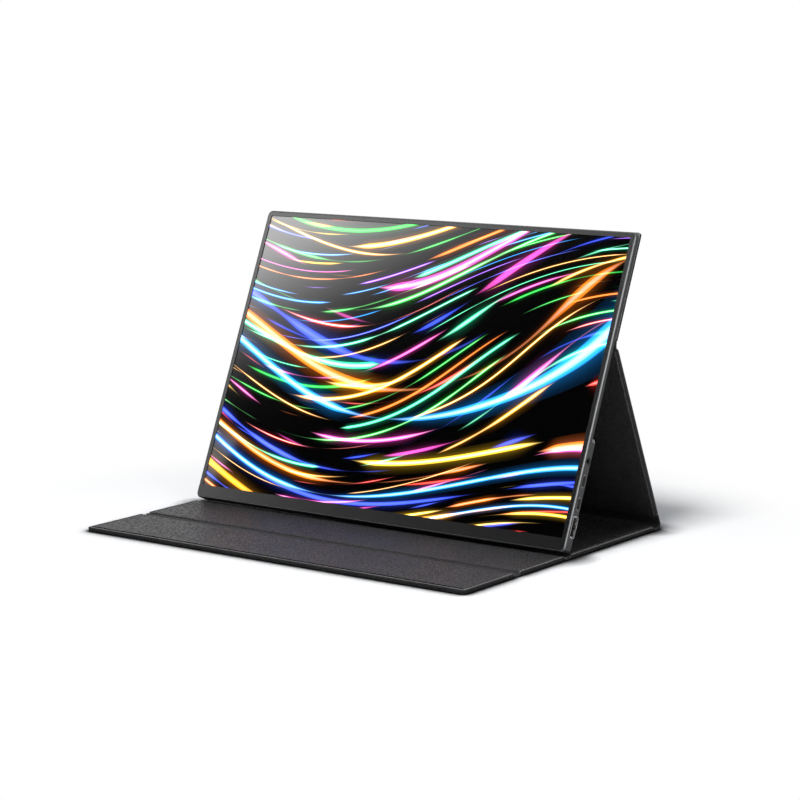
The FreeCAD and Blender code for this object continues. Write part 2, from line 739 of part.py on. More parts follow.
def speakers():
    shape = rounded("speaker_width", "speaker_height", "speaker_corner")
    for name, side in (("left", -1), ("right", 1)):
        spot = (f"{side} * speaker_reach", "speaker_up")
        speaker = block(f"speaker_{name}", MONITOR_FRAME, shape, spot,
                        "box_back - speaker_depth", "speaker_depth")
        carve(speaker, "front", disc("cone_radius"), spot, "box_back - cone_depth", "cone_depth")


# The controls

def power_button():
    spot = ("port_depth", "power_up")
    cap = rounded("power_depth", "power_width", "power_corner")
    button = block("power_button", MONITOR_FRAME, cap, spot, "-half_width - control_proud",
                   "flange_x + half_width + control_proud", "side")
    flange = rounded("power_depth + flange_reach", "power_width + 2 * flange_reach",
                     "power_corner")
    grow(button, "side", flange, spot, "flange_x", "flange_depth")
    switch = rectangle("switch_depth", "switch_width")
    block("power_switch", MONITOR_FRAME, switch, spot, "switch_x", "switch_height", "side")


def menu_rocker():
    rocker = block("menu_rocker", MONITOR_FRAME, rectangle("rocker_depth", "rocker_width"),
                   ("port_depth", "rocker_up"), "-half_width - control_proud",
                   "rocker_back + half_width + control_proud", "side")
    pivot = ("pivot_x", "rocker_up")
    start = "port_depth - rocker_depth / 2"
    grow(rocker, "front", disc("hub_radius"), pivot, start, "rocker_depth")
    carve(rocker, "front", disc("pin_radius + pin_play"), pivot, start, "rocker_depth")
    pin_start = "2 * port_depth - lug_start - lug_depth"
    block("rocker_pin", MONITOR_FRAME, disc("pin_radius"), pivot, pin_start,
          f"lug_start + lug_depth - ({pin_start})")
    switches = new_body("rocker_switches", MONITOR_FRAME)
    for side in (-1, 1):
        grow(switches, "side", rectangle("switch_depth", "switch_width"),
             ("port_depth", f"rocker_up + {side} * rocker_switch_reach"), "switch_x",
             "switch_height")


def key_board():
    block("key_board", MONITOR_FRAME, rectangle("key_board_depth", "key_board_height"),
          ("port_depth", "key_board_up"), "key_board_x", "key_board_thickness", "side")


def check_all():
    doc.recompute()
    for item in doc.Objects:
        if "Invalid" in item.State or "Error" in item.State:
            raise RuntimeError(f"{item.Name} did not build: {item.State}")
    for piece in pieces:
        if piece.Shape.isNull() or not piece.Shape.isValid():
            raise RuntimeError(f"{piece.Label} has no valid shape")


def main():
    fill_sheets()
    cover_panels()
    flat_crease("flap_tip_crease", "flap_tip_length", "flap_tip_gap")
    flat_crease("flap_crease", "seat_start", "seat_width")
    rear_spine()
    upper_fold()
    plate_magnets()
    rear_shell()
    display_stack()
    usb_socket("upper", "usb_upper_up")
    usb_socket("lower", "usb_lower_up")
    hdmi_socket()
    audio_jack()
    boards()
    panel_cable()
    key_cable()
    speakers()
    power_button()
    menu_rocker()
    key_board()
    check_all()
    os.makedirs("parts", exist_ok=True)
    for piece in pieces:
        piece.Shape.exportStep(f"parts/{piece.Label}.step")
        print(piece.Label, len(piece.Shape.Solids), round(piece.Shape.Volume, 2))
    for name, formula in LAYOUT:
        print(name, doc.Layout.get(name))


main()
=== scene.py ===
# %% [markdown]
# # A portable monitor standing in its folding cover
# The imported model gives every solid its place, in metres. This lesson loads it as a fixed frame,
# dresses the soft cover with new meshes, paints every other solid, and sets a plain studio.

# %% Load the frame
import json
import math
from collections import namedtuple

import bmesh
import bpy
from mathutils import Matrix, Vector

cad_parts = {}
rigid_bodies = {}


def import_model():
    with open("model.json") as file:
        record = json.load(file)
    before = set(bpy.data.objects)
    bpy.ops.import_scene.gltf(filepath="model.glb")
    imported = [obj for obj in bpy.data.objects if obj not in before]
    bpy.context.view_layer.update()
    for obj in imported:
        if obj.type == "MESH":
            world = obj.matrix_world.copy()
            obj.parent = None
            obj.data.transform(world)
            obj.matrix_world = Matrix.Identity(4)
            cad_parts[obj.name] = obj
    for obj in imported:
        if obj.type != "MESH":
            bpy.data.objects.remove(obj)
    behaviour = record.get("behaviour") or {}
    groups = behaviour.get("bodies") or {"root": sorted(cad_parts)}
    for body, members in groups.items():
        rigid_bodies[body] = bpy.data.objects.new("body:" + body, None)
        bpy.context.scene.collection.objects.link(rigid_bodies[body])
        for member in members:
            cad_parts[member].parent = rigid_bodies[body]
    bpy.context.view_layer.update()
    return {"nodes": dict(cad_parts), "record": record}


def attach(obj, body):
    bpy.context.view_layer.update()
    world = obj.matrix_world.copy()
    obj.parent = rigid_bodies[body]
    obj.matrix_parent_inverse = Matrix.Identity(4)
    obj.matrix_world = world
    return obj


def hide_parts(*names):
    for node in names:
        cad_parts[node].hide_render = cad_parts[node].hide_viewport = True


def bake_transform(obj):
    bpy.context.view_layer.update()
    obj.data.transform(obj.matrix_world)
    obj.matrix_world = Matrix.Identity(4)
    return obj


for leftover in list(bpy.data.objects):
    bpy.data.objects.remove(leftover)

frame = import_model()
nodes = frame["nodes"]
bpy.context.scene.view_settings.view_transform = "Standard"


def linked(name, data):
    """A new object with this data, linked into the scene."""
    made = bpy.data.objects.new(name, data)
    bpy.context.scene.collection.objects.link(made)
    return made


print("solids in the frame:", len(nodes))

# %% [markdown]
# ## Where the display leans
# The display stands in the groove of the cover and leans back. A point on it is easiest to give as
# millimetres across, behind the front face, and up the screen, so one helper turns those three
# into a place in the frame.

# %% The display's own directions
MM = 0.001
BODY_WIDTH = 347.0
BODY_HEIGHT = 240.4
LEAN = math.radians(23.38)
TOE = Vector((0.0, -5.618, 6.268)) * MM
SCREEN_UP = Vector((0.0, math.sin(LEAN), math.cos(LEAN)))
SCREEN_BACK = Vector((0.0, math.cos(LEAN), -math.sin(LEAN)))


def on_display(across, depth, up):
    """A place given in mm across, behind the front face, and up the screen."""
    return TOE + Vector((across * MM, 0, 0)) + SCREEN_BACK * (depth * MM) + SCREEN_UP * (up * MM)


print("top edge of the display:", on_display(0, 0, BODY_HEIGHT))

# %% [markdown]
# ## The camera
# The photograph was taken with a long lens from the front right, a little above the table. The
# angles and the distance come from fitting the corners of the display and of the cover.

# %% Place the camera
SENSOR = 36.0
LENS = 109.888
FARTHEST = 100.0
CAMERA_PLACE = Vector((1.09344, -1.4339, 0.39161))
CAMERA_AZIMUTH = math.radians(36.69)
CAMERA_ELEVATION = math.radians(9.214)
CAMERA_ROLL = math.radians(0.268)

camera_data = bpy.data.cameras.new("photo_camera")
camera_data.sensor_width = SENSOR
camera_data.lens = LENS
camera_data.clip_end = FARTHEST
camera = linked("photo_camera", camera_data)
level = math.cos(CAMERA_ELEVATION)
forward = Vector((-math.sin(CAMERA_AZIMUTH) * level, math.cos(CAMERA_AZIMUTH) * level,
                  -math.sin(CAMERA_ELEVATION)))
roll = Matrix.Rotation(CAMERA_ROLL, 3, forward)
turn = roll @ forward.to_track_quat("-Z", "Y").to_matrix()
camera.matrix_world = Matrix.Translation(CAMERA_PLACE) @ turn.to_4x4()
bpy.context.scene.camera = camera
print("camera looks along", forward)

# %% [markdown]
# ## Building materials from nodes
# Every finish here is made from a few of the same steps: a noise or a wave, a ramp of two colours,
# and a bump. Small helpers keep each finish short enough to read.

# %% Helpers for nodes
def new_finish(name):
    """A new material, its node tree and its shader."""
    finish = bpy.data.materials.new(name)
    finish.use_nodes = True
    tree = finish.node_tree
    return finish, tree, tree.nodes["Principled BSDF"]


def add(tree, kind, **settings):
    made = tree.nodes.new(kind)
    for key, value in settings.items():
        setattr(made, key, value)
    return made


def feed(tree, socket, value):
    """Set a socket to a number or a colour, or link it to another node's output."""
    if isinstance(value, bpy.types.NodeSocket):
        tree.links.new(value, socket)
    else:
        socket.default_value = value


def maths(tree, operation, first, second=0.0, third=0.0):
    made = add(tree, "ShaderNodeMath", operation=operation)
    feed(tree, made.inputs[0], first)
    feed(tree, made.inputs[1], second)
    feed(tree, made.inputs[2], third)
    return made.outputs[0]


def object_place(tree):
    return add(tree, "ShaderNodeTexCoord").outputs["Object"]


def noise(tree, vector, scale, detail=2.0, roughness=0.5):
    made = add(tree, "ShaderNodeTexNoise")
    feed(tree, made.inputs["Vector"], vector)
    made.inputs["Scale"].default_value = scale
    made.inputs["Detail"].default_value = detail
    made.inputs["Roughness"].default_value = roughness
    return made.outputs["Fac"]


def ramp(tree, value, low, high, start=0.3, end=0.7):
    made = add(tree, "ShaderNodeValToRGB")
    feed(tree, made.inputs["Fac"], value)
    made.color_ramp.elements[0].position = start
    made.color_ramp.elements[0].color = (*low, 1)
    made.color_ramp.elements[1].position = end
    made.color_ramp.elements[1].color = (*high, 1)
    return made.outputs["Color"]


def spread(tree, value, low, high):
    made = add(tree, "ShaderNodeMapRange")
    feed(tree, made.inputs["Value"], value)
    made.inputs["To Min"].default_value = low
    made.inputs["To Max"].default_value = high
    return made.outputs["Result"]


def spread_from(tree, value, low, high):
    """0 at the low value and 1 at the high one, smooth between them."""
    made = add(tree, "ShaderNodeMapRange", interpolation_type="SMOOTHSTEP")
    tree.links.new(value, made.inputs["Value"])
    made.inputs["From Min"].default_value = low
    made.inputs["From Max"].default_value = high
    return made.outputs["Result"]


def raise_surface(tree, shader, height, depth, strength=1.0):
    made = add(tree, "ShaderNodeBump")
    feed(tree, made.inputs["Height"], height)
    made.inputs["Distance"].default_value = depth
    made.inputs["Strength"].default_value = strength
    tree.links.new(made.outputs["Normal"], shader.inputs["Normal"])


def stretched(tree, vector, scale):
    made = add(tree, "ShaderNodeMapping")
    feed(tree, made.inputs["Vector"], vector)
    made.inputs["Scale"].default_value = scale
    return made.outputs["Vector"]


def shaded(color, factor):
    return tuple(channel * factor for channel in color)


print("helpers for nodes are ready")

# %% [markdown]
# ## The cover's two finishes
# The inside of the cover is a fine charcoal linen, pressed flat: thin threads run from front to
# back, crossed by weaker ones, with a slanting rib and small uneven slubs. Pressed cloth shines at
# a low angle, so it picks up the light of the screen. The outside is a leather-look skin with a
# fine pebble whose valleys are darker, partly grain and partly painted shade. Its edges carry a
# painted highlight, paler at the sides than at the ends of the panels, and a near-black line of
# painted shade runs inside the front hem. All are bump and colour from waves and cells, so they
# need no pictures.

# %% The woven lining
WAVE_LENGTH = 0.314
WARP_PITCH = 0.9 * MM
WEFT_PITCH = 1.1 * MM
RIB_PITCH = 1.8 * MM
RIB_TURN = math.radians(36)
WEFT_SHARE = 0.45
RIB_SHARE = 0.55
SLUB_SCALE = 520.0
SLUB_SHARE = 3.0
GRAIN_SCALE = 850.0
GRAIN_SHARE = 4.0
CLOTH_DEPTH = 0.16 * MM
MOTTLE_SCALE = 38.0


def thread_wave(tree, vector, direction, pitch):
    """Threads with this pitch. At scale 1 a wave texture repeats after one wave length."""
    made = add(tree, "ShaderNodeTexWave", wave_type="BANDS", bands_direction=direction)
    feed(tree, made.inputs["Vector"], vector)
    made.inputs["Scale"].default_value = WAVE_LENGTH / pitch
    made.inputs["Distortion"].default_value = 1.6
    made.inputs["Detail"].default_value = 1.0
    made.inputs["Detail Scale"].default_value = 0.6
    return made.outputs["Fac"]


def woven_lining(name, color):
    """Crossed threads with a slanting rib, slubs, and a fine grain that also roughens the gloss."""
    finish, tree, shader = new_finish(name)
    place = object_place(tree)
    warp = thread_wave(tree, place, "X", WARP_PITCH)
    weft = thread_wave(tree, place, "Y", WEFT_PITCH)
    turned = add(tree, "ShaderNodeMapping")
    tree.links.new(place, turned.inputs["Vector"])
    turned.inputs["Rotation"].default_value = (0, 0, -RIB_TURN)
    rib = thread_wave(tree, turned.outputs["Vector"], "X", RIB_PITCH)
    slubs = noise(tree, place, SLUB_SCALE, 3.0)
    crossed = maths(tree, "MULTIPLY_ADD", weft, WEFT_SHARE, warp)
    ribbed = maths(tree, "MULTIPLY_ADD", rib, RIB_SHARE, crossed)
    cloth = maths(tree, "MULTIPLY_ADD", slubs, SLUB_SHARE, ribbed)
    grain = noise(tree, stretched(tree, place, (1.0, 0.4, 1.0)), GRAIN_SCALE, 1.0)
    raise_surface(tree, shader, maths(tree, "MULTIPLY_ADD", grain, GRAIN_SHARE, cloth), CLOTH_DEPTH)
    mottle = noise(tree, place, MOTTLE_SCALE, 4.0, 0.65)
    mixed = maths(tree, "MULTIPLY_ADD", mottle, 0.4, maths(tree, "MULTIPLY", cloth, 0.25))
    shade = ramp(tree, mixed, shaded(color, 0.45), shaded(color, 1.6), 0.5, 1.0)
    tree.links.new(shade, shader.inputs["Base Color"])
    tree.links.new(spread(tree, grain, -0.15, 1.05), shader.inputs["Roughness"])
    shader.inputs["Specular IOR Level"].default_value = 0.18
    return finish


LINING = woven_lining("woven_lining", (0.02, 0.02, 0.021))
# A paler copy of the lining: a painted highlight on the lining's edge at the rear fold.
FOLD_EDGE_HIGHLIGHT = woven_lining("fold_edge_painted_highlight", (0.07, 0.07, 0.072))
print("lining:", LINING.name, "and its edge at the rear fold:", FOLD_EDGE_HIGHLIGHT.name)

# %% The leather-look skin
SWIRL_SCALE = 260.0
SWIRL = 1.2 * MM
PEBBLE_SCALE = 560.0
PEBBLE_DEPTH = 0.2 * MM
CROWN_WIDTH = 0.24
PORE_SCALE = 2400.0
TONE_SCALE = 26.0


def pebbled_skin(name, color, roughness, specular=0.12):
    """Bent cells with rounded crowns. The crowns are a little smoother than the valleys."""
    finish, tree, shader = new_finish(name)
    place = object_place(tree)
    swirl = add(tree, "ShaderNodeTexNoise")
    swirl.inputs["Scale"].default_value = SWIRL_SCALE
    tree.links.new(place, swirl.inputs["Vector"])
    bent = add(tree, "ShaderNodeVectorMath", operation="MULTIPLY_ADD")
    tree.links.new(swirl.outputs["Color"], bent.inputs[0])
    bent.inputs[1].default_value = (SWIRL, SWIRL, SWIRL)
    tree.links.new(place, bent.inputs[2])
    pebble = add(tree, "ShaderNodeTexVoronoi", feature="DISTANCE_TO_EDGE")
    tree.links.new(bent.outputs[0], pebble.inputs["Vector"])
    pebble.inputs["Scale"].default_value = PEBBLE_SCALE
    crown = spread_from(tree, pebble.outputs["Distance"], 0.0, CROWN_WIDTH)
    grain = maths(tree, "MULTIPLY_ADD", noise(tree, place, PORE_SCALE), 0.2, crown)
    raise_surface(tree, shader, grain, PEBBLE_DEPTH, 0.9)
    tone = noise(tree, place, TONE_SCALE, 5.0, 0.6)
    # Random tone, with the valleys darker and the crowns lighter: partly grain, partly painted shade of
    # the pebble's relief.
    tone_and_valley_shade = maths(tree, "MULTIPLY_ADD", crown, 0.45, tone)
    tree.links.new(ramp(tree, tone_and_valley_shade, shaded(color, 0.5), shaded(color, 1.3), 0.3, 1.0),
                   shader.inputs["Base Color"])
    tree.links.new(spread(tree, crown, roughness + 0.12, roughness - 0.08),
                   shader.inputs["Roughness"])
    shader.inputs["Specular IOR Level"].default_value = specular
    return finish


SKIN = pebbled_skin("pebbled_skin", (0.014, 0.014, 0.0147), 0.5)
# The two hem finishes are paler copies of the skin: a painted highlight on the upper edge, dimmer at the
# panel ends.
HEM_HIGHLIGHT = pebbled_skin("hem_painted_highlight", (0.14, 0.14, 0.142), 0.42)
END_HIGHLIGHT = pebbled_skin("hem_end_painted_highlight", (0.12, 0.12, 0.122), 0.45)
# A near-black finish without gloss: painted shade in the groove inside the front hem.
SEAM_SHADE = pebbled_skin("seam_painted_shade", (0.004, 0.004, 0.004), 0.7, 0.0)
print("skin:", SKIN.name, "with rubbed edges", HEM_HIGHLIGHT.name, "and", END_HIGHLIGHT.name, "and a seam", SEAM_SHADE.name)

# %% [markdown]
# ## Meshes from rings
# A cover panel is a stiff board wrapped in skin, with the lining let into its face. Its shape is a
# stack of rings: each ring goes round the panel, a little further in and a little higher than the
# last. The ends that meet a fold roll down to it, while the free edges carry a turned hem, so each
# side of a ring has its own inset and height.

# %% A ring and a skin over rings
CORNER_STEPS = 6
FAR_SIDE = 2 * CORNER_STEPS + 1
NEAR_SIDE = 4 * CORNER_STEPS + 3
LEAST_CORNER = 0.25
SHARP_FROM = math.radians(38)


def panel_ring(width, length, corner, sides):
    """Points round a panel. Sides are (inset, height) for right, far, left and near, in mm."""
    right, far, left, near = sides
    points = []
    quarters = ((1, -1, near, right), (1, 1, right, far), (-1, 1, far, left), (-1, -1, left, near))
    for index, (to_x, to_y, first, second) in enumerate(quarters):
        side = second if index in (0, 2) else first
        end = first if index in (0, 2) else second
        radius = max(corner - max(first[0], second[0]), LEAST_CORNER)
        center_x = to_x * (width / 2 - side[0] - radius)
        center_y = to_y * (length / 2 - end[0] - radius)
        for step in range(CORNER_STEPS + 1):
            share = step / CORNER_STEPS
            angle = math.radians(-90 + 90 * (index + share))
            height = first[1] + (second[1] - first[1]) * (3 - 2 * share) * share * share
            points.append((center_x + radius * math.cos(angle),
                           center_y + radius * math.sin(angle), height))
    return points


def piece_from(name, build, finishes):
    """A bmesh turned into an object in the scene, with these finishes as its materials."""
    mesh = bpy.data.meshes.new(name)
    bmesh.ops.recalc_face_normals(build, faces=build.faces)
    build.to_mesh(mesh)
    build.free()
    for finish in finishes:
        mesh.materials.append(finish)
    return linked(name, mesh)


def skin_over(name, rings, finishes, pick=None):
    """A closed mesh over a stack of rings, with both ends filled. Pick names each band's finish."""
    build = bmesh.new()
    rows = [[build.verts.new(Vector(point) * MM) for point in ring] for ring in rings]
    for band, (low, high) in enumerate(zip(rows, rows[1:])):
        for index in range(len(low)):
            after = (index + 1) % len(low)
            face = build.faces.new((low[index], low[after], high[after], high[index]))
            face.material_index = pick(band, index) if pick else 0
    build.faces.new(list(reversed(rows[0]))).material_index = pick(0, 0) if pick else 0
    build.faces.new(rows[-1]).material_index = pick(len(rows) - 2, 0) if pick else 0
    piece = piece_from(name, build, finishes)
    piece.data.polygons.foreach_set("use_smooth", [True] * len(piece.data.polygons))
    piece.data.set_sharp_from_angle(angle=SHARP_FROM)
    return piece


print("a ring has", 4 * (CORNER_STEPS + 1), "points")

# %% [markdown]
# ## The five panels of the cover
# Each panel has its place, its direction along the cover, its length and thickness. An end is
# either a free edge with a hem, or a fold, given by the height at which the fold's strip meets it.
# The hem's upper bands carry a painted highlight. The lining's edge carries a painted highlight at
# the rear fold, and at the very front a near-black line of painted shade.

# %% Rings of one panel
COVER_WIDTH = 348.0
PANEL_CORNER = 2.0
FREE = None


def panel_sides(free_step, fold_step, near, far):
    """The four sides of one ring: hems at the left and right, hem or fold at the two ends."""
    def end(seam):
        if seam is FREE:
            return free_step
        inset, height = fold_step
        return inset, height(seam)
    return free_step, end(far), free_step, end(near)


def skin_steps(t):
    """Rings of the outer skin: hem inset and height, then fold inset and height."""
    return [
        ((0.80, 0.0), (0.30, lambda seam: 0.0)),
        ((0.38, 0.10), (0.12, lambda seam: 0.06)),
        ((0.10, 0.38), (0.03, lambda seam: 0.18)),
        ((0.0, 0.80), (0.0, lambda seam: 0.35)),
        ((0.0, 0.40 * t), (0.0, lambda seam: 0.40 * seam)),
        ((0.18, 0.43 * t), (0.0, lambda seam: 0.43 * seam)),
        ((0.18, 0.49 * t), (0.0, lambda seam: 0.49 * seam)),
        ((0.0, 0.52 * t), (0.0, lambda seam: 0.52 * seam)),
        ((0.0, t - 0.75), (0.0, lambda seam: seam - 0.12)),
        ((0.08, t - 0.38), (0.02, lambda seam: seam - 0.06)),
        ((0.36, t - 0.08), (0.06, lambda seam: seam - 0.02)),
        ((0.75, t), (0.12, lambda seam: seam)),
        ((1.75, t), (0.3, lambda seam: seam)),
        ((2.05, t - 0.1), (0.4, lambda seam: seam)),
        ((2.2, t - 0.45), (0.5, lambda seam: seam - 0.05)),
        ((2.25, 0.8), (0.6, lambda seam: 0.8)),
    ]


def lining_steps(t):
    """Rings of the lining, from its underside round its edge and up to its face."""
    return [
        ((3.5, t - 0.7), (1.0, lambda seam: t - 0.7)),
        ((3.2, t - 0.72), (0.7, lambda seam: seam + 0.3)),
        ((2.9, t - 0.7), (0.4, lambda seam: seam)),
        ((2.65, t - 0.6), (0.0, lambda seam: seam + 0.02)),
        ((2.62, t - 0.3), (0.0, lambda seam: t - 0.7)),
        ((2.72, t - 0.1), (0.14, lambda seam: t - 0.32)),
        ((2.95, t - 0.02), (0.45, lambda seam: t - 0.08)),
        ((3.3, t), (0.9, lambda seam: t)),
        ((4.2, t), (1.5, lambda seam: t)),
    ]


print("rings of the skin:", len(skin_steps(3.2)), "and of the lining:", len(lining_steps(3.2)))

# %% Where the panels are
LEG_TILT = math.radians(24.2735)
LEG_UP = Vector((0.0, -math.sin(LEG_TILT), math.cos(LEG_TILT)))
LEG_OUT = Vector((0.0, math.cos(LEG_TILT), math.sin(LEG_TILT)))
SPINE_Y = 125.15
SPINE_RADIUS = 3.4
SPINE = Vector((0.0, SPINE_Y, SPINE_RADIUS)) * MM
TABLE = Vector((0.0, 0.0, 0.0))
ALONG = Vector((0.0, 1.0, 0.0))
LEG_FOOT = SPINE + LEG_OUT * (SPINE_RADIUS * MM)
PLATE_DEPTH = 7.1
PLATE_FOOT = on_display(0, PLATE_DEPTH, 0)
Panel = namedtuple("Panel", "foot along start end thickness near far")
PANELS = {
    "flap_tip": Panel(TABLE, ALONG, -128.55, -69.15, 3.2, FREE, 2.1),
    "flap": Panel(TABLE, ALONG, -60.75, -4.65, 3.2, 2.1, 2.1),
    "base": Panel(TABLE, ALONG, 4.85, 118.55, 3.2, 2.1, 1.5),
    "leg": Panel(LEG_FOOT, LEG_UP, 7.4, 153.191, 3.6, 1.5, 2.5),
    "plate": Panel(PLATE_FOOT, SCREEN_UP, 158.4, 241.8, 2.8, 1.2, FREE),
}


def panel_frame(foot, along, middle):
    """The place of a panel whose middle is this many mm along from its foot."""
    across = Vector((1.0, 0.0, 0.0))
    face = across.cross(along)
    turned = Matrix((across, along, face)).transposed().to_4x4()
    return Matrix.Translation(foot + along * (middle * MM)) @ turned


print("panels:", ", ".join(PANELS))

# %% Make the panels
# The skin's bands from the first number up to the last carry the painted highlight.
HIGHLIGHT_FROM = {"flap_tip": 10, "flap": 10, "base": 9, "leg": 11, "plate": 9}
HIGHLIGHT_TO = 11
LINING_EDGE_FROM = 4


def cover_panel(body, panel):
    """The skin and the lining of one panel, in place of its two soft solids."""
    length = panel.end - panel.start
    place = panel_frame(panel.foot, panel.along, (panel.start + panel.end) / 2)
    made = []

    def highlighted(band, index):
        """Which finish of the skin a face has: plain, a painted highlight at the sides, or a dimmer one
        at the ends.
        """
        if not HIGHLIGHT_FROM[body] <= band <= HIGHLIGHT_TO:
            return 0
        return 2 if index in (NEAR_SIDE, FAR_SIDE) else 1

    def pressed(band, index):
        """Which finish of the lining a face has: plain, a painted highlight at the rear fold, or painted
        shade at the front.
        """
        if band < LINING_EDGE_FROM:
            return 0
        if body == "base" and index == FAR_SIDE:
            return 1
        return 2 if body == "flap_tip" and index == NEAR_SIDE else 0

    skin = skin_steps(panel.thickness)
    lining = lining_steps(panel.thickness)
    layers = (("skin", skin, (SKIN, HEM_HIGHLIGHT, END_HIGHLIGHT), "outer_skin", highlighted),
              ("lining", lining, (LINING, FOLD_EDGE_HIGHLIGHT, SEAM_SHADE), "lining", pressed))
    for layer, steps, finishes, node, pick in layers:
        rings = [panel_ring(COVER_WIDTH, length, PANEL_CORNER,
                            panel_sides(free, fold, panel.near, panel.far))
                 for free, fold in steps]
        piece = skin_over(f"{body}_{layer}_soft", rings, finishes, pick)
        piece.matrix_world = place
        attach(piece, body)
        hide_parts(f"{body}_{node}")
        made.append(piece)
    return made


for body, panel in PANELS.items():
    made = cover_panel(body, panel)
    print(body, [len(piece.data.polygons) for piece in made])

# %% [markdown]
# ## The four soft folds
# Between the panels the cover has no board, only skin and lining pressed together. Each fold is a
# strip with two faces, shaped to lie between its two panels.

# %% A strip along the width
END_ROUND = 0.4
END_PULL = 0.25


def fold_strip(name, under, over, node):
    """A strip between two rows of (y, z) points in mm."""
    outline = over + under[::-1]
    half = COVER_WIDTH / 2
    stations = ((-half, 1), (-half + END_ROUND, 0), (-half / 3, 0), (half / 3, 0),
                (half - END_ROUND, 0), (half, 1))
    rings = []
    for across, tucked in stations:
        ring = []
        for index, (y, z) in enumerate(outline):
            facing = outline[-1 - index]
            pull = END_PULL * tucked
            ring.append((across, y + (facing[0] - y) * pull, z + (facing[1] - z) * pull))
        rings.append(ring)
    top = len(over) - 1
    piece = skin_over(name, rings, (SKIN, LINING), lambda band, index: int(index < top))
    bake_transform(piece)
    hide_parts(node)
    print(name, len(piece.data.polygons), "faces")
    return piece


print("folds are", COVER_WIDTH, "mm wide")

# %% The two folds in front
FOLD_STEPS = 20
FOLD_TOP = 2.2
GROOVE = 0.8
GROOVE_REACH = 0.9


def flat_fold(name, first, second):
    """A fold between two panels that lie flat, with a pressed groove along its middle."""
    start = PANELS[first].end
    end = PANELS[second].start
    over = []
    under = []
    for step in range(FOLD_STEPS + 1):
        y = start + (end - start) * step / FOLD_STEPS
        away = (y - (start + end) / 2) / GROOVE_REACH
        over.append((y, FOLD_TOP - GROOVE * math.exp(-away * away)))
        under.append((y, 0.0))
    return fold_strip(name + "_soft", under, over, name)


flat_fold("flap_tip_crease", "flap_tip", "flap")
flat_fold("flap_crease", "flap", "base")

# %% The rear fold
REAR_INSIDE = 1.8
STRAIGHT_STEPS = 6
BEND_STEPS = 14
BASE_END = PANELS["base"].end
LEG_START = PANELS["leg"].start


def along_arc(center, radius, first, last, steps):
    angles = [first + (last - first) * step / steps for step in range(steps + 1)]
    return [(center[0] + radius * math.cos(angle), center[1] + radius * math.sin(angle))
            for angle in angles]


def rear_side(radius):
    """One face of the rear fold: from the base, round the spine, and up into the leg."""
    run = [(BASE_END + (SPINE_Y - BASE_END) * step / STRAIGHT_STEPS, SPINE_RADIUS - radius)
           for step in range(STRAIGHT_STEPS)]
    bend = along_arc((SPINE_Y, SPINE_RADIUS), radius, -math.pi / 2, LEG_TILT, BEND_STEPS)
    last_y, last_z = bend[-1]
    lengths = [LEG_START * step / STRAIGHT_STEPS for step in range(1, STRAIGHT_STEPS + 1)]
    rise = [(last_y + LEG_UP.y * length, last_z + LEG_UP.z * length) for length in lengths]
    return run + bend + rise


fold_strip("spine_crease_soft", rear_side(SPINE_RADIUS), rear_side(REAR_INSIDE),
           "spine_crease")

# %% The upper fold
FOLD_LINE = Vector((0.0, 61.4645, 146.5676))
HALF_STRIP = 0.8
LEG_SHARE = 3.5
PLATE_SHARE = 3.0
UPPER_STEPS = 12


def upper_sides():
    """Both faces of the upper fold, along a smooth bend from the leg to the plate."""
    low = FOLD_LINE - LEG_UP * LEG_SHARE
    high = FOLD_LINE + SCREEN_UP * PLATE_SHARE
    back, front = [], []
    for step in range(UPPER_STEPS + 1):
        share = step / UPPER_STEPS
        spot = low * (1 - share) ** 2 + FOLD_LINE * 2 * share * (1 - share) + high * share ** 2
        heading = ((FOLD_LINE - low) * (1 - share) + (high - FOLD_LINE) * share).normalized()
        side = Vector((0.0, heading.z, -heading.y)) * HALF_STRIP
        back.append(((spot + side).y, (spot + side).z))
        front.append(((spot - side).y, (spot - side).z))
    return back, front, low, high


fold_back, fold_front, fold_low, fold_high = upper_sides()
fold_strip("plate_crease_soft", fold_back, fold_front,
           "plate_crease")

# %% [markdown]
# ## The hard finishes
# The display's body is dark blasted aluminium, its front frame a satin paint over plastic, and the
# sockets are plated sheet. Noise in roughness and a very fine bump keep them from looking flat.

# %% Metal and moulded finishes
SLOW_SCALE = 18.0
TONE_CHANGE = 0.12
GLOSS_CHANGE = 0.06


def fine_finish(name, color, roughness, metallic, grain, depth, stretch=(1.0, 1.0, 1.0),
                specular=0.5):
    """A hard surface with fine grain, uneven gloss and a slow change of tone."""
    finish, tree, shader = new_finish(name)
    place = object_place(tree)
    fine = noise(tree, stretched(tree, place, stretch), grain, 2.0)
    raise_surface(tree, shader, fine, depth * MM, 0.6)
    slow = noise(tree, place, SLOW_SCALE, 3.0)
    tree.links.new(ramp(tree, slow, shaded(color, 1 - TONE_CHANGE), shaded(color, 1 + TONE_CHANGE)),
                   shader.inputs["Base Color"])
    tree.links.new(spread(tree, fine, roughness - GLOSS_CHANGE, roughness + GLOSS_CHANGE),
                   shader.inputs["Roughness"])
    shader.inputs["Metallic"].default_value = metallic
    shader.inputs["Specular IOR Level"].default_value = specular
    return finish


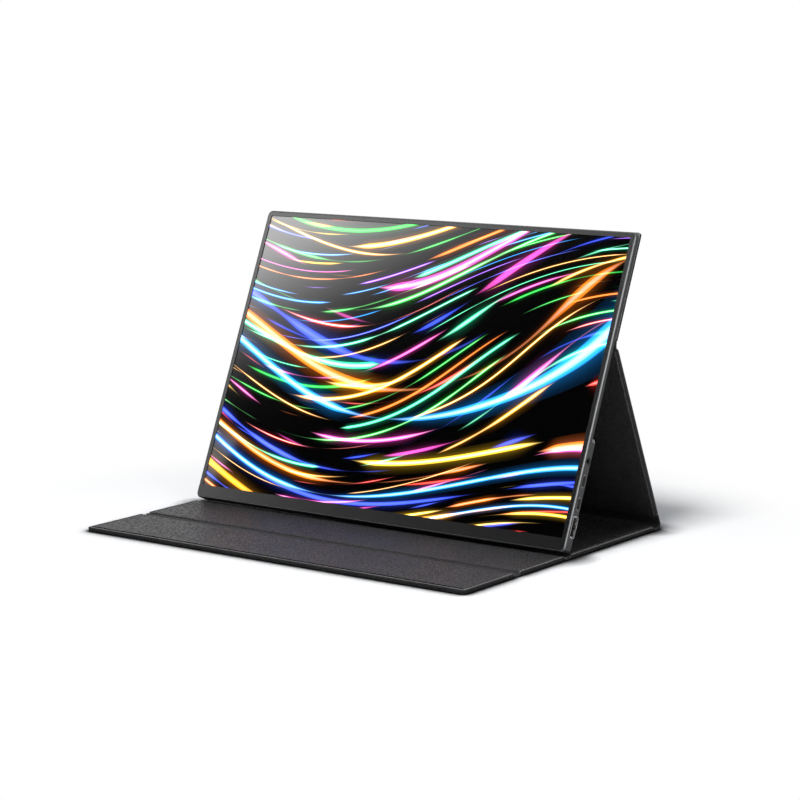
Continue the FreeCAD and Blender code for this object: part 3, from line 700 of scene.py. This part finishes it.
FINISHES = {
    "stiffener": fine_finish("fibre_board", (0.16, 0.14, 0.11), 0.8, 0.0, 900.0, 0.1),
    "magnet": fine_finish("plated_magnet", (0.6, 0.6, 0.6), 0.25, 1.0, 1500.0, 0.01),
    "shell": fine_finish("blasted_metal", (0.024, 0.025, 0.0265), 0.38, 0.6, 3200.0, 0.015),
    "bezel": fine_finish("satin_frame", (0.003, 0.0031, 0.0034), 0.2, 0.0, 2600.0, 0.01,
                         specular=0.28),
    "white_film": fine_finish("white_film", (0.85, 0.85, 0.85), 0.5, 0.0, 700.0, 0.01),
    "light_guide": fine_finish("clear_guide", (0.82, 0.86, 0.88), 0.12, 0.0, 400.0, 0.01),
    "led_strip": fine_finish("lamp_strip", (0.8, 0.72, 0.4), 0.4, 0.0, 500.0, 0.02),
    "sheet_steel": fine_finish("sheet_steel", (0.5, 0.5, 0.5), 0.32, 1.0, 600.0, 0.01,
                               (0.04, 1.0, 1.0)),
    "socket_metal": fine_finish("plated_sheet", (0.6, 0.6, 0.61), 0.28, 1.0, 1800.0, 0.01),
    "socket_plastic": fine_finish("black_moulding", (0.015, 0.015, 0.016), 0.5, 0.0, 2000.0, 0.01),
    "chip": fine_finish("chip_package", (0.02, 0.02, 0.02), 0.6, 0.0, 2500.0, 0.01),
    "spreader": fine_finish("bare_aluminium", (0.7, 0.7, 0.7), 0.35, 1.0, 700.0, 0.01,
                            (1.0, 1.0, 0.05)),
    "flat_cable": fine_finish("flat_lead", (0.55, 0.4, 0.15), 0.4, 0.0, 900.0, 0.02,
                              (1.0, 0.05, 0.05)),
    "speaker": fine_finish("speaker_case", (0.03, 0.03, 0.03), 0.55, 0.0, 1800.0, 0.02),
    "control": fine_finish("turned_control", (0.09, 0.093, 0.097), 0.36, 0.75, 2600.0, 0.01),
}
print("hard finishes:", len(FINISHES))

# %% A circuit board
TRACK_SCALE = 260.0
TRACK_DEPTH = 0.03 * MM


def circuit_board(name):
    """Solder mask with paler tracks along the edges of square cells."""
    finish, tree, shader = new_finish(name)
    place = object_place(tree)
    tracks = add(tree, "ShaderNodeTexVoronoi", feature="DISTANCE_TO_EDGE", distance="CHEBYCHEV")
    tracks.inputs["Scale"].default_value = TRACK_SCALE
    tree.links.new(place, tracks.inputs["Vector"])
    tree.links.new(ramp(tree, tracks.outputs["Distance"], (0.05, 0.2, 0.1), (0.015, 0.1, 0.05),
                        0.04, 0.1), shader.inputs["Base Color"])
    raise_surface(tree, shader, tracks.outputs["Distance"], TRACK_DEPTH, 0.5)
    shader.inputs["Roughness"].default_value = 0.38
    return finish


FINISHES["circuit_board"] = circuit_board("solder_mask")
print("board finish:", FINISHES["circuit_board"].name)

# %% [markdown]
# ## The lit picture
# The screen shows a plain test picture: bands of light that sway from side to side over black.
# Each layer cuts the height of the picture into rows, bends them with a wave, and draws one glowing
# line in each row, with a colour and a thickness of its own. Three layers of different width give
# near and far lights. It is all emission, so the picture lights the cover in front of it.

# %% One layer of light bands
ACTIVE_WIDTH = 338.1
ACTIVE_HEIGHT = 225.4
ACTIVE_LOW = 10.5
TURN = 2 * math.pi
WAVES = 0.62
SWAY = 0.17
SECOND_WAVES = 0.7
MIDDLE_SEED = 0.31
WIDTH_SEED = 0.77
HEAT_SEED = 0.19
COLOR_SEED = 0.83
FIRST_ROW = 40.0
BEND_SHIFT = 0.2
SECOND_SHIFT = 0.4
ROW_STEP = 3.7
LIT_FROM = 0.44
LIT_FULLY = 0.58
MIDDLE_LOW = 0.35
MIDDLE_SPREAD = 0.3
LEAST_WIDTH = 0.25
LEAST_THICK = 0.0005
SOLID_WITHIN = 0.7
HOT_WITHIN = 0.6
WHITE_WITHIN = 0.1
HALO = 0.3
HALO_FALL = -1.1
HEAT = 0.8
BAND_COLORS = ((1.0, 0.22, 0.01), (0.02, 0.6, 0.06), (0.05, 0.1, 1.0), (1.0, 0.42, 0.02),
               (0.3, 0.04, 0.9), (1.0, 0.05, 0.03), (0.02, 0.35, 1.0), (0.9, 0.08, 0.5),
               (1.0, 0.6, 0.03), (0.04, 0.75, 0.35))


def random_for(tree, index, seed):
    """A number from 0 to 1 that each row has for itself."""
    made = add(tree, "ShaderNodeTexWhiteNoise", noise_dimensions="1D")
    tree.links.new(maths(tree, "ADD", index, seed), made.inputs["W"])
    return made.outputs["Value"]


def broken_run(tree, across, index, pieces):
    """Where along its row a band is lit: a noise that differs from row to row."""
    spot = add(tree, "ShaderNodeCombineXYZ")
    tree.links.new(maths(tree, "MULTIPLY_ADD", across, pieces, index), spot.inputs["X"])
    tree.links.new(maths(tree, "MULTIPLY", index, ROW_STEP), spot.inputs["Y"])
    return spread_from(tree, noise(tree, spot.outputs["Vector"], 1.0, 1.0), LIT_FROM, LIT_FULLY)


def band_color(tree, chance):
    """One of the band colours, picked by a number from 0 to 1."""
    made = add(tree, "ShaderNodeValToRGB")
    tree.links.new(chance, made.inputs["Fac"])
    stops = made.color_ramp
    stops.interpolation = "CONSTANT"
    stops.elements[0].color = (*BAND_COLORS[0], 1)
    stops.elements[1].position = 1 / len(BAND_COLORS)
    stops.elements[1].color = (*BAND_COLORS[1], 1)
    for place, color in enumerate(BAND_COLORS[2:], 2):
        stops.elements.new(place / len(BAND_COLORS)).color = (*color, 1)
    return made.outputs["Color"]


def band_layer(tree, across, up, rows, shift, width, pieces, power):
    """Light from one layer: so many rows, each with a ribbon, a halo and a white-hot middle."""
    bent = maths(tree, "SINE", maths(tree, "MULTIPLY_ADD", across, TURN * WAVES, shift * BEND_SHIFT))
    lifted = maths(tree, "MULTIPLY_ADD", bent, SWAY, up)
    second = maths(tree, "SINE", maths(tree, "MULTIPLY_ADD", up, TURN * SECOND_WAVES,
                                       shift * SECOND_SHIFT))
    swung = maths(tree, "MULTIPLY_ADD", maths(tree, "MULTIPLY", second, across), SWAY, lifted)
    row = maths(tree, "MULTIPLY_ADD", swung, rows, FIRST_ROW + shift)
    index = maths(tree, "FLOOR", row)
    lit = broken_run(tree, across, index, pieces)
    center = maths(tree, "MULTIPLY_ADD", random_for(tree, index, MIDDLE_SEED), MIDDLE_SPREAD, MIDDLE_LOW)
    gap = maths(tree, "ABSOLUTE", maths(tree, "SUBTRACT", maths(tree, "FRACT", row), center))
    own_width = maths(tree, "MULTIPLY_ADD", random_for(tree, index, WIDTH_SEED), width,
                      width * LEAST_WIDTH)
    thick = maths(tree, "MULTIPLY", lit, own_width)
    ratio = maths(tree, "DIVIDE", gap, maths(tree, "ADD", thick, LEAST_THICK))
    ribbon = spread_from(tree, ratio, 1.0, SOLID_WITHIN)
    hot = maths(tree, "MULTIPLY", spread_from(tree, ratio, HOT_WITHIN, WHITE_WITHIN),
                random_for(tree, index, HEAT_SEED))
    halo = maths(tree, "EXPONENT", maths(tree, "MULTIPLY", ratio, HALO_FALL))
    glow = maths(tree, "MULTIPLY_ADD", halo, HALO, ribbon)
    colored = add(tree, "ShaderNodeVectorMath", operation="SCALE")
    tree.links.new(band_color(tree, random_for(tree, index, COLOR_SEED)), colored.inputs[0])
    tree.links.new(maths(tree, "MULTIPLY", glow, maths(tree, "MULTIPLY", lit, power)),
                   colored.inputs["Scale"])
    whitened = add(tree, "ShaderNodeVectorMath", operation="ADD")
    tree.links.new(colored.outputs[0], whitened.inputs[0])
    tree.links.new(maths(tree, "MULTIPLY", hot, maths(tree, "MULTIPLY", lit, HEAT * power)),
                   whitened.inputs[1])
    return whitened.outputs[0]


print("the picture is", ACTIVE_WIDTH, "mm wide and", ACTIVE_HEIGHT, "mm high")

# %% The screen's finish
# Rows, shift, width of a band in its row, pieces along a row, and power.
LAYERS = (
    (11.0, 0.4, 0.17, 2.6, 1.0),
    (19.0, 1.9, 0.17, 3.4, 1.0),
    (34.0, 3.3, 0.16, 4.4, 0.9),
)
BRIGHTNESS = 1.8


def lit_screen(name):
    """A black mirror that shines with all the layers, in the picture's own width and height."""
    finish, tree, shader = new_finish(name)
    fit = add(tree, "ShaderNodeMapping", vector_type="TEXTURE")
    tree.links.new(object_place(tree), fit.inputs["Vector"])
    fit.inputs["Location"].default_value = on_display(-ACTIVE_WIDTH / 2, 0, ACTIVE_LOW)
    fit.inputs["Rotation"].default_value = (-LEAN, 0, 0)
    fit.inputs["Scale"].default_value = (ACTIVE_WIDTH * MM, 1, ACTIVE_HEIGHT * MM)
    parts = add(tree, "ShaderNodeSeparateXYZ")
    tree.links.new(fit.outputs["Vector"], parts.inputs["Vector"])
    across, up = parts.outputs["X"], parts.outputs["Z"]
    total = band_layer(tree, across, up, *LAYERS[0])
    for layer in LAYERS[1:]:
        joined = add(tree, "ShaderNodeVectorMath", operation="ADD")
        tree.links.new(total, joined.inputs[0])
        tree.links.new(band_layer(tree, across, up, *layer), joined.inputs[1])
        total = joined.outputs[0]
    tree.links.new(total, shader.inputs["Emission Color"])
    shader.inputs["Emission Strength"].default_value = BRIGHTNESS
    shader.inputs["Base Color"].default_value = (0.001, 0.001, 0.001, 1)
    shader.inputs["Roughness"].default_value = 0.05
    shader.inputs["Specular IOR Level"].default_value = 0.5
    return finish


FINISHES["screen"] = lit_screen("lit_screen")
print("layers of light:", len(LAYERS))

# %% Paint the solids
hard_parts = [part for part in frame["record"]["subparts"] if part["material_slot"] in FINISHES]
for part in hard_parts:
    mesh = nodes[part["node"]].data
    mesh.materials.clear()
    mesh.materials.append(FINISHES[part["material_slot"]])
print("painted", len(hard_parts), "solids")

# %% [markdown]
# ## Bright cut edges
# The metal body is cut once more after it is blasted, which leaves a thin bright line round the
# front and round the wide sockets. Each line is a narrow closed band that follows a ring. Below,
# where the display stands in the groove, the front's band is near-black as painted shade. The same
# cutter takes the blasted skin off the round corners at the ends of the box, so a short strip lies
# over each.

# %% Bands along a ring
CUT_EDGE = fine_finish("cut_edge", (0.42, 0.425, 0.43), 0.32, 0.9, 2400.0, 0.006)
CUT_RIM = fine_finish("cut_rim", (0.13, 0.132, 0.135), 0.34, 0.9, 2400.0, 0.006)
# A near-black band without gloss: painted shade where the display's lower edge stands in the groove.
GROOVE_SHADE = fine_finish("groove_painted_shade", (0.008, 0.008, 0.0085), 0.7, 0.0, 2400.0, 0.006, specular=0.1)


def ring_band(name, width, length, corner, profile, place, finish, low_finish):
    """A closed band round a rounded rectangle, with its near side in a finish of its own.

    Profile is a loop of (inset, height), in mm.
    """
    build = bmesh.new()
    rows = [[build.verts.new(place @ (Vector(point) * MM))
             for point in panel_ring(width, length, corner, (step,) * 4)] for step in profile]
    for low, high in zip(rows, rows[1:] + rows[:1]):
        for index in range(len(low)):
            after = (index + 1) % len(low)
            face = build.faces.new((low[index], low[after], high[after], high[index]))
            face.material_index = int(index == NEAR_SIDE)
    piece = piece_from(name, build, (finish, low_finish))
    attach(piece, "monitor")
    print(name, len(piece.data.polygons), "faces")
    return piece


# %% The front rim and the mouths
CORNER_RADIUS = 4.0
RIM_LINE = ((-0.03, -0.78), (0.62, -0.13), (0.75, -0.3), (0.1, -0.95))
front_face = panel_frame(TOE, SCREEN_UP, BODY_HEIGHT / 2)
# The rim's near side, down in the groove, is painted shade.
ring_band("bright_front_rim", BODY_WIDTH, BODY_HEIGHT, CORNER_RADIUS, RIM_LINE, front_face, CUT_RIM,
          GROOVE_SHADE)

USB_DEPTH = 5.4
USB_UPPER = 53.8
USB_LOWER = 36.9
HDMI_DEPTH = 6.025
HDMI_UP = 19.9
# Long and short side of a mouth, its corner radius, and its finish.
USB_MOUTH = (9.34, 3.66, 1.7, CUT_RIM)
HDMI_MOUTH = (15.4, 5.95, 1.6, CUT_EDGE)
# Depth and height of the middle, then the mouth.
MOUTHS = {
    "usb_c_mouth_upper": (USB_DEPTH, USB_UPPER, *USB_MOUTH),
    "usb_c_mouth_lower": (USB_DEPTH, USB_LOWER, *USB_MOUTH),
    "hdmi_mouth": (HDMI_DEPTH, HDMI_UP, *HDMI_MOUTH),
}
side_turn = Matrix((SCREEN_UP, SCREEN_BACK, SCREEN_UP.cross(SCREEN_BACK))).transposed().to_4x4()
MOUTH_LINE = ((0.0, -0.03), (-0.36, -0.03), (-0.38, 0.1), (0.0, 0.1))
for name, (depth, up, long_side, short_side, corner, finish) in MOUTHS.items():
    place = Matrix.Translation(on_display(BODY_WIDTH / 2, depth, up)) @ side_turn
    ring_band(name, long_side, short_side, corner, MOUTH_LINE, place, finish, finish)

# %% Strips over the corners of the box
STRIP_STEPS = 6
PROUD = 0.03
SUNK = -0.1


def corner_strip(name, side, up, first, last, front, back):
    """A strip over a round corner whose middle is this far up, between two angles in degrees."""
    rings = []
    for step in range(STRIP_STEPS + 1):
        angle = math.radians(first + (last - first) * step / STRIP_STEPS)
        ring = []
        for proud, depth in ((PROUD, front), (PROUD, back), (SUNK, back), (SUNK, front)):
            radius = CORNER_RADIUS + proud
            across = BODY_WIDTH / 2 - CORNER_RADIUS + radius * math.cos(angle)
            ring.append(on_display(side * across, depth, up + radius * math.sin(angle)) / MM)
        rings.append(ring)
    piece = skin_over(name, rings, (CUT_RIM,))
    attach(piece, "monitor")
    print(name, len(piece.data.polygons), "faces")
    return piece


BOX_HEIGHT = 86.4
for hand, side in (("right", 1), ("left", -1)):
    corner_strip(f"bright_box_end_{hand}", side, BOX_HEIGHT - CORNER_RADIUS,
                 first=8, last=48, front=4.4, back=8.4)
    corner_strip(f"bright_low_corner_{hand}", side, CORNER_RADIUS,
                 first=-55, last=-8, front=1.1, back=8.4)

# %% [markdown]
# ## Contacts in the sockets
# A socket looks empty without its contacts. Thin gilt strips lie on both faces of each tongue, and
# two sprung tabs sit inside the mouth of the wide socket, where they catch the light.

# %% Gilt strips and sprung tabs
GILT = fine_finish("gilt_contact", (0.83, 0.62, 0.28), 0.25, 1.0, 1500.0, 0.005)
BAR_ROUND = 0.04 * MM
CONTACT_HEIGHT = 0.06


def small_bars(name, bars, finish):
    """Many small bevelled bars on the display, each given by its middle and its size in mm."""
    build = bmesh.new()
    for middle, size in bars:
        made = bmesh.ops.create_cube(build, size=1.0)["verts"]
        for vert in made:
            across, depth, up = (middle[axis] + vert.co[axis] * size[axis] for axis in range(3))
            vert.co = on_display(across, depth, up)
    bmesh.ops.bevel(build, geom=build.edges[:], offset=BAR_ROUND, segments=2, affect="EDGES")
    piece = piece_from(name, build, (finish,))
    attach(piece, "monitor")
    return piece


def tongue_contacts(name, depth, up, half_tongue, count, pitch, start, length):
    """Rows of contacts on both faces of a tongue, from start along the width of the display."""
    bars = []
    for face in (-1, 1):
        for index in range(count):
            rise = (index - (count - 1) / 2) * pitch
            bars.append(((start + length / 2, depth + face * half_tongue, up + rise),
                         (length, CONTACT_HEIGHT, pitch / 2)))
    return small_bars(name, bars, GILT)


# Half the tongue's thickness, contacts in a row and their pitch, where they start and their length.
USB_ROW = (0.35, 12, 0.5, 167.2, 3.8)
HDMI_ROW = (0.55, 10, 1.0, 165.0, 5.6)
contacts = [
    tongue_contacts("usb_c_contacts_upper", USB_DEPTH, USB_UPPER, *USB_ROW),
    tongue_contacts("usb_c_contacts_lower", USB_DEPTH, USB_LOWER, *USB_ROW),
    tongue_contacts("hdmi_contacts", HDMI_DEPTH, HDMI_UP, *HDMI_ROW),
]
TAB_SIZE = (3.0, 0.25, 2.0)
TAB_ACROSS = 171.3
TAB_OFFSET = 2.3
TAB_RISE = 3.5
tabs = [((TAB_ACROSS, HDMI_DEPTH + side * TAB_OFFSET, HDMI_UP + end * TAB_RISE), TAB_SIZE)
        for side in (-1, 1) for end in (-1, 1)]
small_bars("hdmi_spring_tabs", tabs, FINISHES["socket_metal"])
print("contacts:", [len(piece.data.polygons) for piece in contacts])

# %% [markdown]
# ## The studio
# The object stands on a pale table that runs into a white background. The table is lit like any
# surface near the object, so it takes the shadow, and further out it is simply white to the eye.
# Close to the object it darkens where little of the sky is open to it, which draws the fine dark
# line under the cover's edges.
# A glossy screen mirrors the room in front of it. Photographers hang a dark cloth there, so the
# background is dark in that one direction, and the cloth's bright edge is mirrored as a slanting
# haze in the screen's upper corner. The main box stands high in front and throws the shadow behind
# the leg, and three weak ones light the sides and the back.

# %% The table
BACKDROP = (1.0, 1.0, 1.0, 1)
TABLE_SIZE = 12.0
TABLE_DROP = -0.2 * MM
TABLE_LIFT = 0.12
LIT_WITHIN = 0.22
WHITE_FROM = 0.36
CONTACT_REACH = 0.024
CONTACT_DEPTH = 9.0


def ray_kinds(tree):
    """Two switches: 1 for rays from the camera, and 1 for rays in a mirror or through glass."""
    path = add(tree, "ShaderNodeLightPath")
    shine = maths(tree, "MAXIMUM", path.outputs["Is Glossy Ray"],
                  path.outputs["Is Transmission Ray"])
    return path.outputs["Is Camera Ray"], shine


def pale_table(name):
    """Pale and lit near the object, white further out, and dark right beside the object."""
    finish = bpy.data.materials.new(name)
    finish.use_nodes = True
    tree = finish.node_tree
    tree.nodes.clear()
    lit = add(tree, "ShaderNodeBsdfDiffuse")
    lit.inputs["Color"].default_value = (0.8, 0.8, 0.81, 1)
    lift = add(tree, "ShaderNodeEmission")
    lift.inputs["Color"].default_value = (0.83, 0.92, 1.0, 1)
    seen = maths(tree, "MAXIMUM", *ray_kinds(tree))
    tree.links.new(maths(tree, "MULTIPLY", seen, TABLE_LIFT), lift.inputs["Strength"])
    near = add(tree, "ShaderNodeAddShader")
    tree.links.new(lit.outputs[0], near.inputs[0])
    tree.links.new(lift.outputs[0], near.inputs[1])
    white = add(tree, "ShaderNodeEmission")
    white.inputs["Color"].default_value = BACKDROP
    reach = add(tree, "ShaderNodeVectorMath", operation="LENGTH")
    tree.links.new(object_place(tree), reach.inputs[0])
    outward = spread_from(tree, reach.outputs["Value"], LIT_WITHIN, WHITE_FROM)
    both = add(tree, "ShaderNodeMixShader")
    tree.links.new(maths(tree, "MULTIPLY", outward, seen), both.inputs["Fac"])
    tree.links.new(near.outputs[0], both.inputs[1])
    tree.links.new(white.outputs[0], both.inputs[2])
    crowded = add(tree, "ShaderNodeAmbientOcclusion", samples=16)
    crowded.inputs["Distance"].default_value = CONTACT_REACH
    open_sky = maths(tree, "POWER", crowded.outputs["AO"], CONTACT_DEPTH)
    dark = add(tree, "ShaderNodeEmission")
    dark.inputs["Strength"].default_value = 0.0
    settled = add(tree, "ShaderNodeMixShader")
    tree.links.new(maths(tree, "MULTIPLY", maths(tree, "SUBTRACT", 1.0, open_sky), seen),
                   settled.inputs["Fac"])
    tree.links.new(both.outputs[0], settled.inputs[1])
    tree.links.new(dark.outputs[0], settled.inputs[2])
    out = add(tree, "ShaderNodeOutputMaterial")
    tree.links.new(settled.outputs[0], out.inputs["Surface"])
    return finish


def table_top(size):
    mesh = bpy.data.meshes.new("table_top")
    half = size / 2
    around = ((-1, -1), (1, -1), (1, 1), (-1, 1))
    corners = [(to_x * half, to_y * half, TABLE_DROP) for to_x, to_y in around]
    mesh.from_pydata(corners, [], [(0, 1, 2, 3)])
    mesh.materials.append(pale_table("pale_table"))
    table = linked("table_top", mesh)
    return table


print("table:", table_top(TABLE_SIZE).name)

# %% The background
AMBIENT = 0.15
HAZE = 8.6
HAZE_TOP = 1.1
HAZE_FROM = 0.93
HAZE_FULLY = 0.98
CLOTH_TO = 0.9
ROOM_FROM = 0.3
screen_face = -SCREEN_BACK


def mirrored_at(spot):
    """The direction from which light comes to the camera by way of a spot on the screen."""
    to_camera = (CAMERA_PLACE - spot).normalized()
    return screen_face * (2 * screen_face.dot(to_camera)) - to_camera


haze_corner = mirrored_at(on_display(-173, 0, 240))
haze_low = mirrored_at(on_display(-117, 0, 98))
haze_high = mirrored_at(on_display(48, 0, 192))
haze_edge = haze_low.cross(haze_high).normalized()
haze_reach = haze_edge.dot(mirrored_at(on_display(-152, 0, 208)))


def towards(tree, heading, direction):
    """How much a heading points in this direction: 1 for fully, 0 for square to it."""
    made = add(tree, "ShaderNodeVectorMath", operation="DOT_PRODUCT")
    tree.links.new(heading, made.inputs[0])
    made.inputs[1].default_value = direction
    return made.outputs["Value"]


world = bpy.data.worlds.new("studio")
world.use_nodes = True
bpy.context.scene.world = world
sky = world.node_tree
background = sky.nodes["Background"]
background.inputs["Color"].default_value = BACKDROP
heading = add(sky, "ShaderNodeTexCoord").outputs["Generated"]
near_corner = towards(sky, heading, haze_corner)
past_edge = maths(sky, "DIVIDE", towards(sky, heading, haze_edge), haze_reach)
kept = maths(sky, "MAXIMUM", maths(sky, "MINIMUM", past_edge, HAZE_TOP), 0.0)
slope = maths(sky, "MULTIPLY", kept, maths(sky, "MULTIPLY", kept, HAZE))
haze = maths(sky, "MULTIPLY", slope, spread_from(sky, near_corner, HAZE_FROM, HAZE_FULLY))
mirrored = maths(sky, "ADD", haze, spread_from(sky, near_corner, CLOTH_TO, ROOM_FROM))
from_camera, shine = ray_kinds(sky)
plain = maths(sky, "MULTIPLY", maths(sky, "SUBTRACT", 1.0, shine), AMBIENT)
lit = maths(sky, "MULTIPLY_ADD", shine, mirrored, plain)
strength = maths(sky, "MAXIMUM", from_camera, lit)
sky.links.new(strength, background.inputs["Strength"])
print("the cloth is dark towards", haze_corner, "and its edge reaches over", haze_reach)

# %% The soft boxes
LEFT_AWAY = 1.2
left_spot = on_display(-275, 0, 10)
left_place = left_spot + mirrored_at(left_spot) * LEFT_AWAY
# Place, target, side of the square in metres, and power in watts.
BOXES = {
    "front_box": (Vector((0.13, -0.67, 1.4)), Vector((0, 0, 0.05)), 0.4, 25.8),
    "left_box": (left_place, left_spot, 0.25, 0.5),
    "right_box": (Vector((1.2, -0.45, 0.6)), Vector((0.1, 0.05, 0.1)), 0.4, 3.0),
    "back_box": (Vector((0.5, 1.5, 0.75)), Vector((0, 0.1, 0.1)), 0.6, 2.6),
}


def soft_box(name, place, target, side, power):
    data = bpy.data.lights.new(name, "AREA")
    data.shape = "RECTANGLE"
    data.size = side
    data.size_y = side
    data.energy = power
    lamp = linked(name, data)
    heading = (target - place).to_track_quat("-Z", "Y").to_matrix().to_4x4()
    lamp.matrix_world = Matrix.Translation(place) @ heading
    return lamp


for name, values in BOXES.items():
    soft_box(name, *values)
print("soft boxes:", ", ".join(BOXES))
